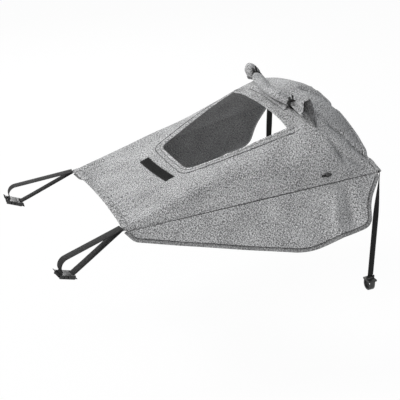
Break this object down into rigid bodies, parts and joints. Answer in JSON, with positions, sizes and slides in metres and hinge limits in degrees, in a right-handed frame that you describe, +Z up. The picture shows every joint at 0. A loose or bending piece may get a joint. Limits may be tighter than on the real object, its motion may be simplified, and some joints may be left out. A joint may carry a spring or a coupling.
{
  "type": "pram sun shade",
  "caption": "Cloth sun shade for a pram hood with a rolled-up window flap, fold-up side wings, buckled handle straps and elastic rear straps with open hooks.",
  "frame": {"origin": "underside of the cloth at its crown, over the hood's bow", "axes": "+X from the front hem to the hood, +Y to the left of the parent who pushes, +Z up"},
  "size_m": [0.7489, 0.5879, 0.4599],
  "materials": {
    "heather_cloth": "grey melange woven cloth",
    "binding_cloth": "dark grey bias tape",
    "black_webbing": "black woven webbing",
    "elastic": "black ribbed elastic",
    "grip_tape": "black hook-and-loop tape",
    "black_plastic": "moulded black plastic"
  },
  "bodies": {
    "canopy": {"top_panel": "heather_cloth", "front_hem": "heather_cloth", "front_elastic": "elastic", "window_binding": "binding_cloth", "ruched_band": "heather_cloth", "band_elastic": "elastic", "rear_hem": "heather_cloth", "rear_elastic": "elastic", "hook_strip": "grip_tape", "left_wing_loop": "elastic", "right_wing_loop": "elastic"},
    "rolled_flap": {"window_flap": "heather_cloth", "flap_loop_strip": "grip_tape", "left_flap_tie": "elastic", "right_flap_tie": "elastic"},
    "left_side_wing": {"left_wing": "heather_cloth", "left_wing_binding": "binding_cloth"},
    "left_wing_bead": {"left_wing_toggle": "black_plastic"},
    "left_flap_bead": {"left_flap_toggle": "black_plastic"},
    "left_handle_strap": {"left_upper_strap": "black_webbing", "left_lower_strap": "black_webbing", "left_buckle_socket": "black_plastic", "left_buckle_plug": "black_plastic"},
    "left_outer_arm": {"left_outer_release_arm": "black_plastic"},
    "left_inner_arm": {"left_inner_release_arm": "black_plastic"},
    "left_tail_strap": {"left_rear_strap": "elastic"},
    "left_tail_hook": {"left_rear_hook": "black_plastic"},
    "right_side_wing": {"right_wing": "heather_cloth", "right_wing_binding": "binding_cloth"},
    "right_wing_bead": {"right_wing_toggle": "black_plastic"},
    "right_flap_bead": {"right_flap_toggle": "black_plastic"},
    "right_handle_strap": {"right_upper_strap": "black_webbing", "right_lower_strap": "black_webbing", "right_buckle_socket": "black_plastic", "right_buckle_plug": "black_plastic"},
    "right_outer_arm": {"right_outer_release_arm": "black_plastic"},
    "right_inner_arm": {"right_inner_release_arm": "black_plastic"},
    "right_tail_strap": {"right_rear_strap": "elastic"},
    "right_tail_hook": {"right_rear_hook": "black_plastic"}
  },
  "joints": [
    {"name": "flap_tip", "type": "hinge", "parent": "canopy", "child": "rolled_flap", "pos_m": [-0.0335, 0, -0.01792], "axis": [0, -1, 0], "range_deg": [0, 60]},
    {"name": "left_wing_fold", "type": "hinge", "parent": "canopy", "child": "left_side_wing", "pos_m": [-0.4501, 0.16358, -0.19531], "axis": [0.9836, 0.1453, 0.1065], "range_deg": [0, 142]},
    {"name": "left_wing_bead_turn", "type": "hinge", "parent": "canopy", "child": "left_wing_bead", "pos_m": [0.00505, 0.22733, -0.12561], "axis": [0.9836, 0.1453, 0.1065], "range_deg": [-180, 180]},
    {"name": "left_flap_bead_turn", "type": "hinge", "parent": "rolled_flap", "child": "left_flap_bead", "pos_m": [-0.00688, 0.10025, 0.01764], "axis": [-0.2765, 0.2299, 0.9331], "range_deg": [-180, 180]},
    {"name": "left_strap_swing", "type": "hinge", "parent": "canopy", "child": "left_handle_strap", "pos_m": [-0.4518, 0.16, -0.18544], "axis": [-0.1392, -0.9903, 0], "range_deg": [-80, 60], "stiffness_Nm_per_rad": 0.08, "springref_deg": -5.16},
    {"name": "left_outer_arm_press", "type": "hinge", "parent": "left_handle_strap", "child": "left_outer_arm", "pos_m": [-0.58288, 0.1863, -0.24501], "axis": [0.3387, -0.0476, 0.9397], "range_deg": [0, 7], "stiffness_Nm_per_rad": 0.02},
    {"name": "left_inner_arm_press", "type": "hinge", "parent": "left_handle_strap", "child": "left_inner_arm", "pos_m": [-0.58505, 0.17085, -0.24501], "axis": [-0.3387, 0.0476, -0.9397], "range_deg": [0, 7], "stiffness_Nm_per_rad": 0.02},
    {"name": "left_tail_swing", "type": "hinge", "parent": "canopy", "child": "left_tail_strap", "pos_m": [0.12602, 0.24495, -0.13087], "axis": [0.5299, -0.848, 0], "range_deg": [-5, 22]},
    {"name": "left_hook_swing", "type": "hinge", "parent": "left_tail_strap", "child": "left_tail_hook", "pos_m": [0.12602, 0.24815, -0.39887], "axis": [1, 0, 0], "range_deg": [-60, 60]},
    {"name": "right_wing_fold", "type": "hinge", "parent": "canopy", "child": "right_side_wing", "pos_m": [-0.45011, -0.16342, -0.19503], "axis": [-0.9836, 0.1453, -0.1065], "range_deg": [0, 110]},
    {"name": "right_wing_bead_turn", "type": "hinge", "parent": "canopy", "child": "right_wing_bead", "pos_m": [0.00505, -0.22733, -0.12561], "axis": [0.9836, -0.1453, 0.1065], "range_deg": [-180, 180]},
    {"name": "right_flap_bead_turn", "type": "hinge", "parent": "rolled_flap", "child": "right_flap_bead", "pos_m": [-0.02318, -0.09961, 0.01202], "axis": [-0.3854, -0.2088, 0.8988], "range_deg": [-180, 180]},
    {"name": "right_strap_swing", "type": "hinge", "parent": "canopy", "child": "right_handle_strap", "pos_m": [-0.4518, -0.16, -0.18544], "axis": [0.1392, -0.9903, 0], "range_deg": [-80, 60], "stiffness_Nm_per_rad": 0.08, "springref_deg": -5.16},
    {"name": "right_outer_arm_press", "type": "hinge", "parent": "right_handle_strap", "child": "right_outer_arm", "pos_m": [-0.57595, -0.18532, -0.25601], "axis": [-0.3387, -0.0476, -0.9397], "range_deg": [0, 7], "stiffness_Nm_per_rad": 0.02},
    {"name": "right_inner_arm_press", "type": "hinge", "parent": "right_handle_strap", "child": "right_inner_arm", "pos_m": [-0.57812, -0.16988, -0.25601], "axis": [0.3387, 0.0476, 0.9397], "range_deg": [0, 7], "stiffness_Nm_per_rad": 0.02},
    {"name": "right_tail_swing", "type": "hinge", "parent": "canopy", "child": "right_tail_strap", "pos_m": [0.12602, -0.24495, -0.13087], "axis": [-0.5299, -0.848, 0], "range_deg": [-5, 22]},
    {"name": "right_hook_swing", "type": "hinge", "parent": "right_tail_strap", "child": "right_tail_hook", "pos_m": [0.12602, -0.24815, -0.39887], "axis": [1, 0, 0], "range_deg": [-60, 60]}
  ],
  "couplings": [
    {"joint": "left_inner_arm_press", "follows": "left_outer_arm_press", "ratio": 1},
    {"joint": "right_inner_arm_press", "follows": "right_outer_arm_press", "ratio": 1}
  ]
}
